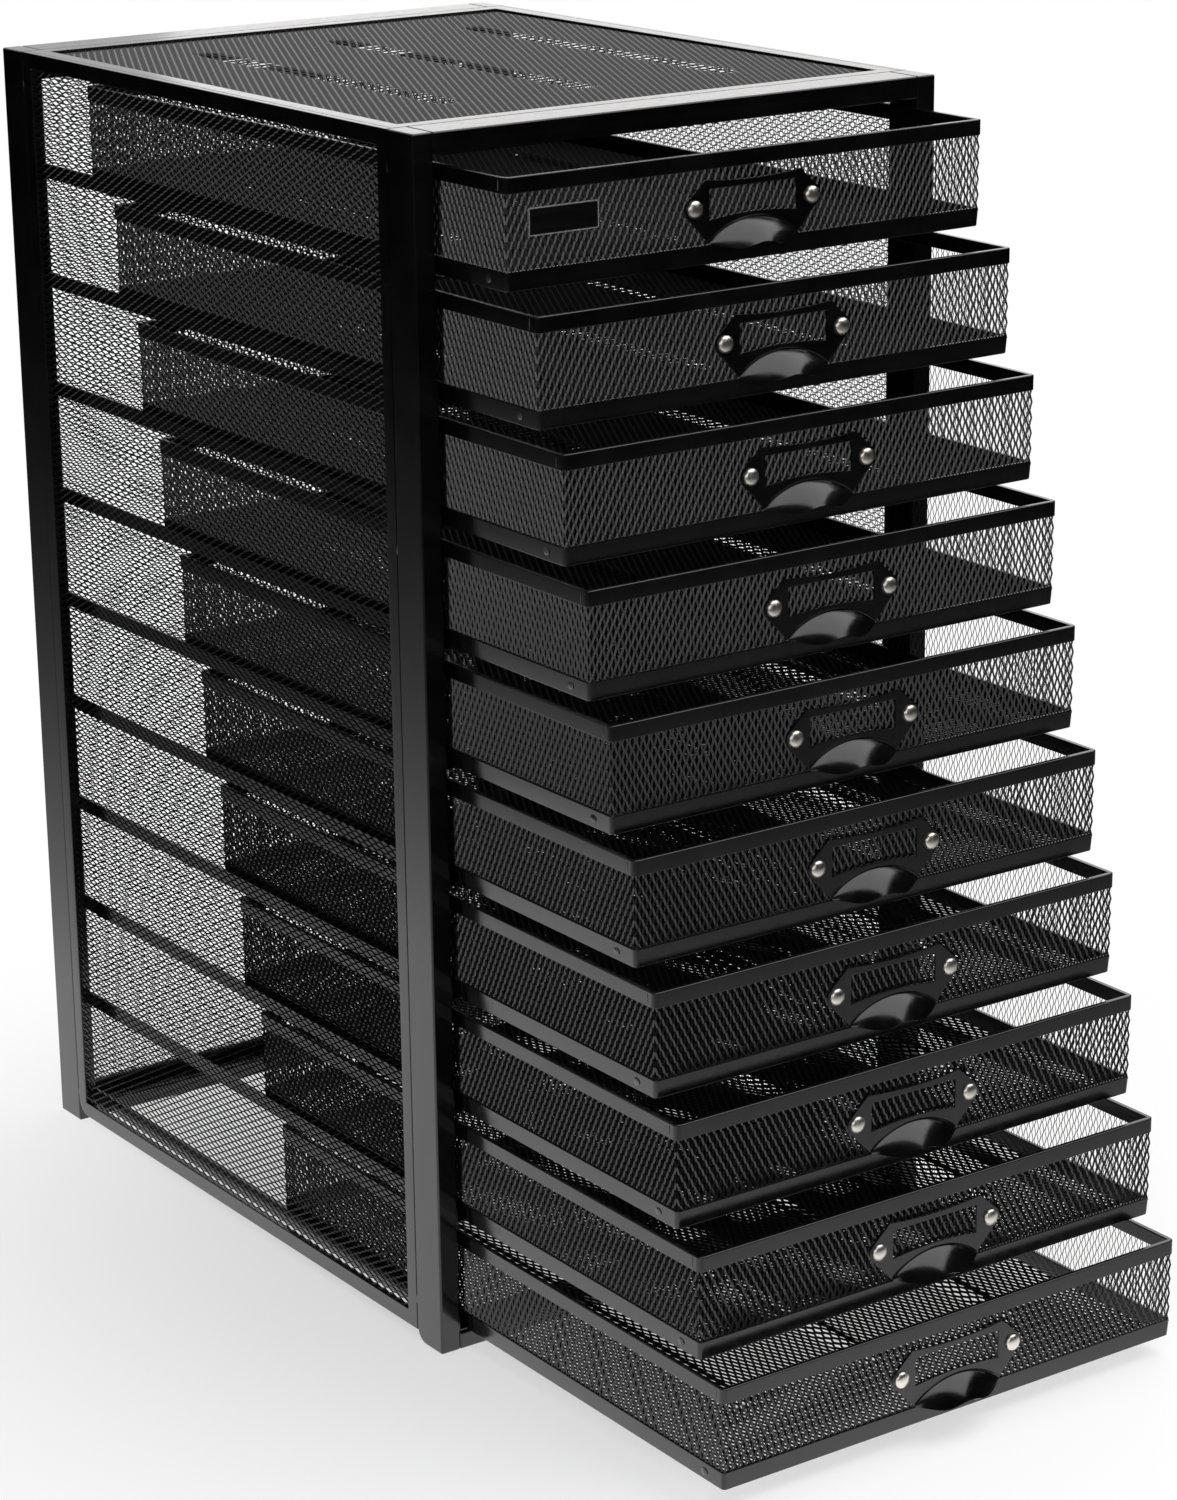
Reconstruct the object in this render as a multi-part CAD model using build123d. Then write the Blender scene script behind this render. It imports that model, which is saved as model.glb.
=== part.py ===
"""Desktop cabinet of steel mesh with ten shallow drawers, pulled out like a staircase.

Millimetres, +Z up, drawers open towards -Y. The origin is the middle of the underside of the
front foot rail, on the surface that the cabinet stands on.
"""

import os
from math import cos, hypot, pi, radians, sin, sqrt

from build123d import *

# Cabinet, outside
cabinet_width = 276.0
cabinet_depth = 360.0
cabinet_height = 546.0

# Flat tube of the front and back frames
post_width = 10.0
tube_depth = 20.0
top_rail_height = 10.0
foot_rail_height = 8.0
tube_wall = 1.5
foot_corner_radius = 7.0

# Panels: a flat border bar round expanded mesh
panel_thickness = 3.0
side_border = 7.5
top_border = 8.0
back_border = 6.0
back_panel_inset = 3.0
side_panel_lift = 5.0
side_corner_radius = 8.0

# Mesh: thickness, then the pitch of its diamonds across and up, and the strand between two of them.
# The pitch is far coarser than the real one, which is 3.6 mm by 6.6 mm.
mesh_thickness = 0.8
side_mesh_pitch = (102.0, 66.0)
top_mesh_pitch = (44.0, 70.0)
back_mesh_pitch = (122.0, 66.0)
wall_mesh_pitch = (56.0, 32.0)
floor_mesh_pitch = (240.0, 28.0)
panel_strand = 3.6
wall_strand = 3.2

# Runners: an angle under each side of each drawer
runner_thickness = 1.0
runner_leg = 7.0
runner_flange = 9.0
runner_setback = 1.5
runner_end_gap = 0.5

# Drawers, top one first: how far each stands out of the cabinet
pulled_out = [47.5, 68.5, 86.0, 102.0, 117.0, 132.5, 146.0, 160.5, 176.0, 192.0]
drawer_gap = 6.5
top_clearance = 3.2
side_clearance = 1.8
back_clearance = 10.0
seat_gap = 0.3

# Rim strip and base band of a drawer
rim_height = 6.8
rim_thickness = 2.4
base_height = 8.2
base_thickness = 2.0
base_inset = 0.4
base_corner = 1.2

# Pull: a label plate with a finger cup pressed out of its lower part.
# Distances down the plate are from the ends of its top edge.
pull_thickness = 1.0
pull_gap_above = 4.2
pull_gap_below = 0.5
pull_top_half_width = 25.0
pull_top_dip = 1.5
window_width = 46.0
window_top = 4.0
window_web = 2.0
window_arch = 1.6
cup_half_width = 23.2
cup_depth = 9.5
cup_tip_depth = 1.2
cup_wall = 0.9
cup_facets_across = 6
cup_facets_round = 3

# Ears of the pull and the rivets in them
rivet_spacing = 61.6
rivet_drop = 11.7
ear_radius = 4.9
ear_angle = 40.0
rivet_head_radius = 3.8
rivet_head_height = 2.2
rivet_shank_radius = 1.5
rivet_hole_clearance = 0.1
rivet_sides = 8
rivet_tiers = 2
rivet_crown_angle = 66.0

# Derived places
drawer_count = len(pulled_out)
front_face_y = -tube_depth / 2
back_face_y = front_face_y + cabinet_depth
inner_half_width = cabinet_width / 2 - post_width
panel_front_y = front_face_y + tube_depth
panel_back_y = back_face_y - tube_depth
lowest_seat = foot_rail_height + runner_thickness + seat_gap
stack_top = cabinet_height - top_rail_height - top_clearance
drawer_height = (stack_top - lowest_seat - (drawer_count - 1) * drawer_gap) / drawer_count
drawer_pitch = drawer_height + drawer_gap
drawer_width = 2 * (inner_half_width - runner_thickness - side_clearance)
drawer_length = cabinet_depth - back_clearance
wall_inset = (rim_thickness - mesh_thickness) / 2
wall_height = drawer_height - rim_height - base_height
pull_height = wall_height - pull_gap_above - pull_gap_below


def block(x, y, z):
    """A box from its lowest and highest coordinate along each axis."""
    spans = (sorted(x), sorted(y), sorted(z))
    size = [high - low for low, high in spans]
    middle = [(high + low) / 2 for low, high in spans]
    return Pos(*middle) * Box(*size)


def diamond_sheet(width, height, pitch, strand):
    """Flat expanded mesh in XY: a sheet pierced by staggered diamonds, standing on z = 0."""
    across = max(1, round(width / pitch[0]))
    up = max(1, round(height / pitch[1]))
    cell_width = width / across
    cell_height = height / up
    diagonal = hypot(cell_width, cell_height)
    half_width = (cell_width - strand * diagonal / cell_height) / 2
    half_height = (cell_height - strand * diagonal / cell_width) / 2
    hole = Polygon((half_width, 0), (0, half_height), (-half_width, 0), (0, -half_height), align=None)
    centres = []
    for row in range(2 * up - 1):
        in_row = across - row % 2
        start = -(in_row - 1) / 2 * cell_width
        y = (row + 1) / 2 * cell_height - height / 2
        centres += [(start + column * cell_width, y) for column in range(in_row)]
    sheet = Rectangle(width, height) - [Pos(*centre) * hole for centre in centres]
    return extrude(sheet, mesh_thickness)


def faceted(rings):
    """A solid of flat facets between successive rings of points, closed at both ends."""
    faces = [Face(Wire.make_polygon(ring)) for ring in (rings[0], rings[-1])]
    for lower, upper in zip(rings, rings[1:]):
        for step in range(len(lower)):
            quad = [lower[step - 1], lower[step], upper[step], upper[step - 1]]
            faces.append(Face(Wire.make_polygon(quad)))
    return Solid(Shell(faces))


def post(side, y, rounded):
    """Upright of a frame: a tube closed at both ends, in front rounded at the back of its foot."""
    outer = side * cabinet_width / 2
    inner = side * inner_half_width
    upright = block((outer, inner), y, (0, cabinet_height))
    if rounded:
        foot_edges = upright.edges().filter_by(Axis.X).group_by(Axis.Z)[0]
        upright = fillet(foot_edges.sort_by(Axis.Y)[-1], foot_corner_radius)
    bore_x = (outer - side * tube_wall, inner + side * tube_wall)
    bore_y = (y[0] + tube_wall, y[1] - tube_wall)
    return upright - block(bore_x, bore_y, (foot_corner_radius, cabinet_height - tube_wall))


def rail(y, z):
    """Cross tube of a frame, between the posts."""
    bore_y = (y[0] + tube_wall, y[1] - tube_wall)
    bore_z = (z[0] + tube_wall, z[1] - tube_wall)
    span = (-inner_half_width, inner_half_width)
    return block(span, y, z) - block(span, bore_y, bore_z)


def frame(y, rounded):
    """Two posts, a top rail and a foot rail, welded face to face."""
    return [
        post(-1, y, rounded),
        post(1, y, rounded),
        rail(y, (cabinet_height - top_rail_height, cabinet_height)),
        rail(y, (0, foot_rail_height)),
    ]


def border_bars(outline, size, border):
    """Four flat bars inside an outline in XY, mitred where they meet."""
    width, height = size
    half_window = (width / 2 - border, height / 2 - border)
    bars = []
    for outer, inner, edge, stop, turn in (
        (width / 2, half_window[0], height / 2, half_window[1], 0),
        (height / 2, half_window[1], width / 2, half_window[0], 90),
        (width / 2, half_window[0], height / 2, half_window[1], 180),
        (height / 2, half_window[1], width / 2, half_window[0], 270),
    ):
        bar = Polygon((-inner, stop), (inner, stop), (outer, edge), (-outer, edge), align=None)
        bars.append(extrude((Rot(0, 0, turn) * bar) & outline, panel_thickness))
    return bars


def mesh_in_border(size, border, pitch):
    """The mesh that fills a border, halfway through its thickness."""
    opening = (size[0] - 2 * border, size[1] - 2 * border)
    return Pos(0, 0, (panel_thickness - mesh_thickness) / 2) * diamond_sheet(*opening, pitch, panel_strand)


def side_panel(side):
    """Border bars and mesh of a side panel, flush with the outside of the frames."""
    length = panel_back_y - panel_front_y
    height = cabinet_height - side_panel_lift
    outer_x = side * cabinet_width / 2
    low_x = min(outer_x, outer_x - side * panel_thickness)
    origin = (low_x, (panel_front_y + panel_back_y) / 2, side_panel_lift + height / 2)
    place = Plane(origin=origin, x_dir=(0, 1, 0), z_dir=(1, 0, 0))
    outline = Rectangle(length, height)
    back_corner = outline.vertices().group_by(Axis.Y)[0].sort_by(Axis.X)[-1]
    outline = fillet(back_corner, side_corner_radius)
    bars = [place * bar for bar in border_bars(outline, (length, height), side_border)]
    return bars, place * mesh_in_border((length, height), side_border, side_mesh_pitch)


def top_panel():
    """Mesh top between the frames and the side panels, flush with the top of the frames."""
    size = (cabinet_width - 2 * panel_thickness, panel_back_y - panel_front_y)
    place = Pos(0, (panel_front_y + panel_back_y) / 2, cabinet_height - panel_thickness)
    bars = border_bars(Rectangle(*size), size, top_border)
    return [place * piece for piece in [*bars, mesh_in_border(size, top_border, top_mesh_pitch)]]


def back_panel():
    """Mesh back, standing inside the back frame."""
    size = (2 * inner_half_width, cabinet_height - top_rail_height - foot_rail_height)
    origin = (0, back_face_y - back_panel_inset, foot_rail_height + size[1] / 2)
    place = Plane(origin=origin, x_dir=(1, 0, 0), z_dir=(0, -1, 0))
    bars = border_bars(Rectangle(*size), size, back_border)
    return [place * piece for piece in [*bars, mesh_in_border(size, back_border, back_mesh_pitch)]]


def drawer_bottom(index):
    """Height of the underside of a drawer, counted from the top drawer down."""
    return stack_top - drawer_height - index * drawer_pitch


def runners(side):
    """One angle for each drawer, welded to the inner faces of both posts."""
    back_end = back_face_y - back_panel_inset - panel_thickness - runner_end_gap
    y = (front_face_y + runner_setback, back_end)
    wall = side * inner_half_width
    angles = []
    for index in range(drawer_count):
        seat = drawer_bottom(index) - seat_gap
        foot = seat - runner_thickness
        leg = block((wall, wall - side * runner_thickness), y, (foot, foot + runner_leg))
        flange = block((wall, wall - side * runner_flange), y, (foot, seat))
        angles.append(leg + flange)
    return angles


def rim():
    """Strip folded over the top of the walls and bent round the four corners."""
    outline = RectangleRounded(drawer_width, drawer_length, rim_thickness)
    inside = Rectangle(drawer_width - 2 * rim_thickness, drawer_length - 2 * rim_thickness)
    strip = extrude(outline - inside, rim_height)
    return Pos(0, drawer_length / 2, drawer_height - rim_height) * strip


def base_band():
    """Band round the foot of the walls, set in a little from the rim."""
    width = drawer_width - 2 * base_inset
    length = drawer_length - 2 * base_inset
    outline = chamfer(Rectangle(width, length).vertices(), base_corner)
    inside = Rectangle(width - 2 * base_thickness, length - 2 * base_thickness)
    return Pos(0, drawer_length / 2) * extrude(outline - inside, base_height)


def basket():
    """Mesh walls between base band and rim, and the mesh floor inside the band."""
    across = drawer_width - 2 * wall_inset
    along = drawer_length - 2 * wall_inset - 2 * mesh_thickness
    end_sheet = diamond_sheet(across, wall_height, wall_mesh_pitch, wall_strand)
    side_sheet = diamond_sheet(along, wall_height, wall_mesh_pitch, wall_strand)
    middle_y = drawer_length / 2
    middle_z = base_height + wall_height / 2
    side_x = drawer_width / 2 - wall_inset
    walls = []
    for origin_y in (wall_inset + mesh_thickness, drawer_length - wall_inset):
        place = Plane(origin=(0, origin_y, middle_z), x_dir=(1, 0, 0), z_dir=(0, -1, 0))
        walls.append(place * end_sheet)
    walls[0] -= [place * Pos(0, -rivet_drop) * rivet_hole(mesh_thickness) for place in ear_places()]
    for origin_x in (-side_x, side_x - mesh_thickness):
        place = Plane(origin=(origin_x, middle_y, middle_z), x_dir=(0, 1, 0), z_dir=(1, 0, 0))
        walls.append(place * side_sheet)
    inset = base_inset + base_thickness
    floor_size = (drawer_width - 2 * inset, drawer_length - 2 * inset)
    floor = Pos(0, middle_y) * diamond_sheet(*floor_size, floor_mesh_pitch, panel_strand)
    return [*walls, floor]


def mirrored(point):
    """The point on the other side of the pull's middle."""
    return (-point[0], point[1])


def pull_outline():
    """Outline of the pull's plate, in XY with y = 0 at the ends of its top edge."""
    ear_x = rivet_spacing / 2
    reach = ear_radius * cos(radians(ear_angle))
    rise = ear_radius * sin(radians(ear_angle))
    top = (pull_top_half_width, 0)
    ear_top = (ear_x + reach, rise - rivet_drop)
    ear_end = (ear_x + ear_radius, -rivet_drop)
    ear_bottom = (ear_x + reach, -rise - rivet_drop)
    tip = (cup_half_width, -pull_height)
    return make_face(
        [
            ThreePointArc(mirrored(top), (0, -pull_top_dip), top),
            Line(top, ear_top),
            ThreePointArc(ear_top, ear_end, ear_bottom),
            Line(ear_bottom, tip),
            Line(tip, mirrored(tip)),
            Line(mirrored(tip), mirrored(ear_bottom)),
            ThreePointArc(mirrored(ear_bottom), mirrored(ear_end), mirrored(ear_top)),
            Line(mirrored(ear_top), mirrored(top)),
        ]
    )


def window():
    """The label window, with its lower edge arched upwards over the cup."""
    half = window_width / 2
    bottom = cup_depth + window_web - pull_height
    top = -window_top
    return make_face(
        [
            Line((-half, top), (half, top)),
            Line((half, top), (half, bottom - window_arch)),
            ThreePointArc((half, bottom - window_arch), (0, bottom), (-half, bottom - window_arch)),
            Line((-half, bottom - window_arch), (-half, top)),
        ]
    )


def cup_bow(inset):
    """Points along the bow of the finger cup, as (across, out from the line between its tips)."""
    half_width = cup_half_width - inset
    rise = cup_depth - cup_tip_depth - inset
    radius = (half_width**2 + rise**2) / (2 * rise)
    points = []
    for step in range(cup_facets_across + 1):
        across = half_width * (2 * step / cup_facets_across - 1)
        points.append((across, cup_tip_depth + rise - radius + sqrt(radius**2 - across**2)))
    return points


def finger_cup():
    """Thin shell of the cup: its bow turned a quarter round the line between its tips."""
    section = cup_bow(0) + cup_bow(cup_wall)[::-1]
    rings = []
    for step in range(cup_facets_round + 1):
        turn = pi / 2 * step / cup_facets_round
        middle = pull_thickness / 2
        rings.append([(x, out * cos(turn), middle + out * sin(turn)) for x, out in section])
    return Pos(0, -pull_height) * faceted(rings)


def on_front(x=0.0):
    """Place on the outside of the front wall's mesh, at the height of the pull's top edge."""
    top_z = drawer_height - rim_height - pull_gap_above
    return Plane(origin=(x, wall_inset, top_z), x_dir=(1, 0, 0), z_dir=(0, -1, 0))


def ear_places():
    """Places of the two ears' middles, across the front wall."""
    return [on_front(side * rivet_spacing / 2) for side in (-1, 1)]


def rivet_hole(depth):
    """Tool that clears a rivet's shank through the pull in front and the mesh behind."""
    hole = RegularPolygon(rivet_shank_radius + rivet_hole_clearance, rivet_sides)
    return Pos(0, 0, -depth) * extrude(hole, depth + pull_thickness)


def pull():
    """Label plate and finger cup as one pressing, seated on the mesh of the drawer's front."""
    tips = [(cup_half_width - cup_wall, 0), (cup_wall - cup_half_width, 0)]
    cup_opening = Polygon(*tips, *cup_bow(cup_wall), align=None)
    plate = pull_outline() - window() - Pos(0, -pull_height) * cup_opening
    pressing = on_front() * (extrude(plate, pull_thickness) + finger_cup())
    return pressing - [place * Pos(0, -rivet_drop) * rivet_hole(0) for place in ear_places()]


def rivet():
    """Domed rivet along Z, its head standing on z = 0 and its shank below."""
    rings = []
    for tier in range(rivet_tiers + 1):
        rise = radians(rivet_crown_angle * tier / rivet_tiers)
        radius = rivet_head_radius * cos(rise)
        height = rivet_head_height * sin(rise)
        corners = [2 * pi * (side + 0.5) / rivet_sides for side in range(rivet_sides)]
        rings.append([(radius * cos(turn), radius * sin(turn), height) for turn in corners])
    shank_length = pull_thickness + mesh_thickness
    shank = extrude(RegularPolygon(rivet_shank_radius, rivet_sides), -shank_length)
    return faceted(rings) + shank


def rivets():
    """The two rivets through the pull's ears and the mesh behind them."""
    return [place * Pos(0, -rivet_drop, pull_thickness) * rivet() for place in ear_places()]


def write(name, pieces):
    """One STEP file for a node of one or more solids."""
    solids = [solid for piece in pieces for solid in piece.solids()]
    export_step(Compound(children=solids), f"parts/{name}.step")


def write_cabinet():
    write("front_frame", frame((front_face_y, panel_front_y), True))
    write("back_frame", frame((panel_back_y, back_face_y), False))
    write("top_panel", top_panel())
    write("back_panel", back_panel())
    for name, side in (("left", -1), ("right", 1)):
        bars, mesh = side_panel(side)
        write(f"{name}_panel_border", bars)
        write(f"{name}_panel_mesh", [mesh])
        write(f"{name}_runners", runners(side))


def write_drawers():
    pieces = {
        "basket": basket(),
        "rim": [rim()],
        "base": [base_band()],
        "pull": [pull()],
        "rivets": rivets(),
    }
    for index, out in enumerate(pulled_out):
        place = Pos(0, front_face_y - out, drawer_bottom(index))
        for piece, solids in pieces.items():
            write(f"drawer_{index + 1:02d}_{piece}", [place * solid for solid in solids])


os.makedirs("parts", exist_ok=True)
write_cabinet()
write_drawers()
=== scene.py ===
"""Finished look of a desktop cabinet of black steel mesh with ten drawers.

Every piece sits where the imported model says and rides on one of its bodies.
"""

from math import atan2, cos, hypot, pi, radians, sin

import bmesh
import bpy
from bpy.props import FloatProperty, FloatVectorProperty, IntProperty, PointerProperty
from bpy.types import Operator, Panel, PropertyGroup
from mathutils import Matrix, Vector


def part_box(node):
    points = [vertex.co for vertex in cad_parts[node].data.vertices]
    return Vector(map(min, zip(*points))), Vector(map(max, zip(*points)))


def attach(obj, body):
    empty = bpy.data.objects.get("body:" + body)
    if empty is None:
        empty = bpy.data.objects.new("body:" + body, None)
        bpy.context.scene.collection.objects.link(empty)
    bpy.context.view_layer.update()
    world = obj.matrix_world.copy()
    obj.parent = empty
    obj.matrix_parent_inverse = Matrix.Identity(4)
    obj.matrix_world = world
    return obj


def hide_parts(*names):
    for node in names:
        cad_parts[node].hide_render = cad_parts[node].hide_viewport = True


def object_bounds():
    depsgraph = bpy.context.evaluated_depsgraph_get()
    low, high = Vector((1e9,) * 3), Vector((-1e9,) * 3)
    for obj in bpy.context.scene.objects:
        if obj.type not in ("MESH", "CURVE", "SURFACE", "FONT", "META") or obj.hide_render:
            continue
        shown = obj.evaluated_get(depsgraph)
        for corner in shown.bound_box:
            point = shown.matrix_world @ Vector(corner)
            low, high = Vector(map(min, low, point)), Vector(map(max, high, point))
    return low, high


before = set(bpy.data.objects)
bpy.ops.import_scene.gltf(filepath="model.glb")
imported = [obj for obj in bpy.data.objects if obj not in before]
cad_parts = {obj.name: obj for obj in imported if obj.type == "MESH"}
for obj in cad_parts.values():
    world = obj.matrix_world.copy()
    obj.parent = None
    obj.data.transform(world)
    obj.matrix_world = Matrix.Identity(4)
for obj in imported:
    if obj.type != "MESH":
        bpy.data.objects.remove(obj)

bl_info = {
    "name": "Mesh Drawer Cabinet",
    "version": (1, 0, 0),
    "blender": (4, 5, 0),
    "location": "View3D > Sidebar > Drawer Cabinet",
    "description": "Builds the steel mesh, trim, pulls and studio of a ten-drawer cabinet",
    "category": "Object",
}

CAD_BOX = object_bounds()
DRAWERS = ["drawer_%02d" % number for number in range(1, 11)]
SHARP = radians(32)                 # edges that turn by more than this are sharp
CORNER = radians(50)                # the same for a partly rounded rim or pull
RIBS = (-0.0705, 0.002, 0.080)      # x of the pressed ribs, in metres
TUBE = (0.010, 0.010, 0.008)        # widths of a frame's posts, top rail and foot rail
HALF_SHEET = 0.0004                 # half the thickness of a basket's sheet in the CAD model
SUNK = 0.0006                       # how far a weld bead's middle lies in its face
FULL_RISE = 0.001                   # rise that puts a strand's back under its raised edge
TINY = 1e-6                         # two places nearer than this are the same
UP = (0, 0, 1)

CAMERA_PLACE = (-1.0081, -1.3686, 0.7857)
CAMERA_RIGHT = (0.82136, -0.57025, -0.01357)
CAMERA_AHEAD = (0.53794, 0.78230, -0.31403)
CAMERA_SHIFT = (0.0243, 0.0466)


# ---------------------------------------------------------------- settings

def length(name, description, default):
    """A length setting, in metres."""
    return FloatProperty(
        name=name, description=description, default=default, min=0.0,
        subtype="DISTANCE", unit="LENGTH", precision=5,
    )


def colour(name, description, default):
    """A colour setting."""
    return FloatVectorProperty(
        name=name, description=description, default=default, size=3,
        min=0.0, max=1.0, subtype="COLOR",
    )


def factor(name, description, default, highest=1.0):
    """A setting from 0 up to a highest value."""
    return FloatProperty(
        name=name, description=description, default=default, min=0.0, max=highest,
    )


class CabinetMesh(PropertyGroup):
    """Sizes of the expanded steel mesh."""

    strand: length("Strand Width", "Width of one strand across the sheet", 0.0007)
    rise: length("Strand Rise", "How far a strand's face leans out of the sheet", 0.00052)
    side_rise: length("Side Rise", "The same for the side and back panels", 0.00032)
    top_rise: length("Top Rise", "The same for the top panel", 0.00042)
    floor_rise: length("Floor Rise", "The same for a drawer's floor", 0.0007)
    gauge: length("Strand Gauge", "Depth of a strand behind its face", 0.00025)
    wall_long: length("Wall Diamond Height", "Long way of a drawer wall's diamonds", 0.0066)
    wall_short: length("Wall Diamond Width", "Short way of a drawer wall's diamonds", 0.0036)
    side_long: length("Side Diamond Length", "Long way of a side panel's diamonds", 0.0066)
    side_short: length("Side Diamond Height", "Short way of a side panel's diamonds", 0.00345)
    top_long: length("Top Diamond Length", "Long way of the top panel's diamonds", 0.0072)
    top_short: length("Top Diamond Width", "Short way of the top panel's diamonds", 0.0036)
    rib_width: length("Rib Width", "Width of a rib in the top panel or a drawer's floor", 0.015)
    rib_depth: length("Rib Depth", "Depth of a rib", 0.002)
    rib_end: length("Rib End", "From a sheet's front or back edge to a rib's end", 0.052)
    tuck: length("Tuck", "How far a sheet runs in under its border", 0.0015)
    floor_inset: length("Floor Inset", "From a basket's outside to its floor's edge", 0.001)


class CabinetTrim(PropertyGroup):
    """Sizes of tubes, borders, rims and small marks."""

    tube_edge: length("Tube Edge", "Rounding along a frame tube's edges", 0.0009)
    foot_rounding: length("Foot Rounding", "Rounding at the back of a front post's foot", 0.007)
    border_edge: length("Border Edge", "Rounding along a panel border's edges", 0.0005)
    side_border: length("Side Border", "Width of a side panel's border", 0.0075)
    top_border: length("Top Border", "Width of the top panel's border", 0.008)
    back_border: length("Back Border", "Width of the back panel's border", 0.006)
    panel_corner: length("Panel Corner", "Rounding of a side panel's lower back corner", 0.008)
    rim_wall: length("Rim Thickness", "Thickness of a drawer's rim", 0.0024)
    rim_corner: length("Rim Corner", "Rounding of a drawer's rim at its corners", 0.0026)
    rim_roll: length("Rim Roll", "Rounding along the top of a rim", 0.0009)
    base_wall: length("Base Thickness", "Thickness of a drawer's base band", 0.002)
    base_corner: length("Base Corner", "Rounding of a base band at its corners", 0.0019)
    rim_edge: length("Rim Edge", "Rounding along a rim's lower edges", 0.0003)
    base_edge: length("Base Edge", "Rounding along a base band's edges", 0.0005)
    base_draft: length("Base Draft", "How far a base band draws in towards its foot", 0.00045)
    bead_length: length("Weld Bead", "Length of a weld bead in a seam", 0.0052)
    bead_width: length("Weld Bead Width", "Width of a weld bead", 0.0026)
    bead_depth: length("Weld Bead Depth", "Depth of a weld bead, most of it sunk", 0.0011)
    dimple: length("Spot Weld", "Width of the spot weld on a base band", 0.004)


class CabinetPull(PropertyGroup):
    """Sizes of a drawer's pull, its rivets and the plate on the top drawer."""

    thickness: length("Plate Thickness", "Thickness of a pull's plate", 0.001)
    plate_rounding: length("Plate Rounding", "Rounding along the plate's edges", 0.00025)
    top_half_width: length("Top Half Width", "Half of the pull's top edge", 0.025)
    top_dip: length("Top Dip", "Dip in the middle of the pull's top edge", 0.0015)
    height: length("Height", "From the top edge's ends down to the cup's tips", 0.0268)
    ear_spacing: length("Ear Spacing", "Between the middles of the two ears", 0.0616)
    ear_drop: length("Ear Drop", "From the top edge down to the ears' middles", 0.0117)
    ear_radius: length("Ear Radius", "Radius of an ear", 0.0049)
    window_half_width: length("Window Half Width", "Half of the label window", 0.023)
    window_top: length("Window Top", "From the top edge down to the window", 0.004)
    window_web: length("Window Web", "Strip between the window and the cup", 0.002)
    window_arch: length("Window Arch", "Rise of the window's lower edge", 0.0016)
    cup_half_width: length("Cup Half Width", "Half of the finger cup", 0.0232)
    cup_depth: length("Cup Depth", "How far the cup stands out", 0.0095)
    cup_tip: length("Cup Tip", "How far the cup's tips stand out", 0.0012)
    cup_wall: length("Cup Wall", "Thickness of the cup's sheet", 0.0009)
    crease: length("Crease", "Half the width of the line along the cup's bow", 0.00045)
    cup_bulge: factor("Cup Bulge", "From a flat flare to a quarter round", 0.28)
    cup_wave: length("Cup Wave", "Drop of the cup's two lobes below its tips", 0.0021)
    rivet_radius: length("Rivet Radius", "Radius of a rivet's head", 0.0038)
    rivet_height: length("Rivet Height", "Height of a rivet's head", 0.0022)
    plate_width: length("Bare Plate Width", "Width of the bare plate on the top drawer", 0.0346)
    plate_height: length("Bare Plate Height", "Height of the bare plate", 0.0115)
    plate_corner: length("Bare Plate Corner", "Rounding of its corners", 0.0008)
    # the light rim is a painted highlight: it takes the light grey edge finish
    plate_rim: length("Bare Plate Rim", "Width of the light rim round its face", 0.0005)
    plate_edge: length("Bare Plate Edge", "From the drawer's middle to its outer end", 0.1136)
    plate_top: length("Bare Plate Top", "From the drawer's top down to the plate", 0.0133)


class CabinetFinish(PropertyGroup):
    """Colours and gloss of the finishes."""

    coat: colour("Black Coat", "Colour of the powder coat", (0.0012, 0.0012, 0.0014))
    coat_worn: colour("Thin Coat", "Colour where the coat is thinner", (0.003, 0.003, 0.0034))
    coat_roughness: factor("Coat Roughness", "Roughness of the powder coat", 0.17)
    mesh: colour("Black Mesh", "Colour of the coated mesh", (0.0012, 0.0012, 0.0014))
    mesh_worn: colour("Mesh Crowns", "Colour where its coat is thin", (0.004, 0.004, 0.0044))
    mesh_roughness: factor("Mesh Roughness", "Roughness of the coated mesh", 0.2)
    gloss: FloatProperty(
        name="Coat Index", description="Index of refraction of the coat", default=1.52,
        min=1.0, max=3.0,
    )
    nickel: colour("Nickel", "Colour of the rivets", (0.78, 0.74, 0.67))
    nickel_roughness: factor("Nickel Roughness", "Roughness of the rivets", 0.32)
    plate: colour("Bare Plate", "Colour of the bare plate", (0.0022, 0.0022, 0.0024))
    # lighter than the coat: a painted highlight standing in for the light rims of the weld beads
    weld: colour("Weld", "Colour of the coated weld beads", (0.07, 0.07, 0.072))


class CabinetStudio(PropertyGroup):
    """Camera, lamps and floor."""

    floor: colour("Floor", "Colour of the floor", (0.95, 0.95, 0.95))
    sky_level: factor("Room Light", "Level of light from the room", 0.3, 4.0)
    overhead_power: factor("Overhead Power", "Power of the lamp overhead, in watts", 80.0, 1000.0)
    back_power: factor("Back Power", "Power of the lamp behind, in watts", 8.0, 1000.0)
    left_power: factor("Left Power", "Power of the lamp on the left, in watts", 7.5, 1000.0)
    front_power: factor("Front Power", "Power of the lamp by the camera, in watts", 10.0, 1000.0)
    lens: FloatProperty(name="Lens", description="Focal length", default=95.05, unit="CAMERA")
    reach: IntProperty(
        name="Floor Reach", description="Half of the floor, in metres", default=30, min=2,
    )


# ---------------------------------------------------------------- materials

def shader(name):
    """New material: its nodes, its links and its Principled node."""
    material = bpy.data.materials.new(name)
    material.use_nodes = True
    tree = material.node_tree
    return material, tree.nodes, tree.links, tree.nodes["Principled BSDF"]


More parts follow.
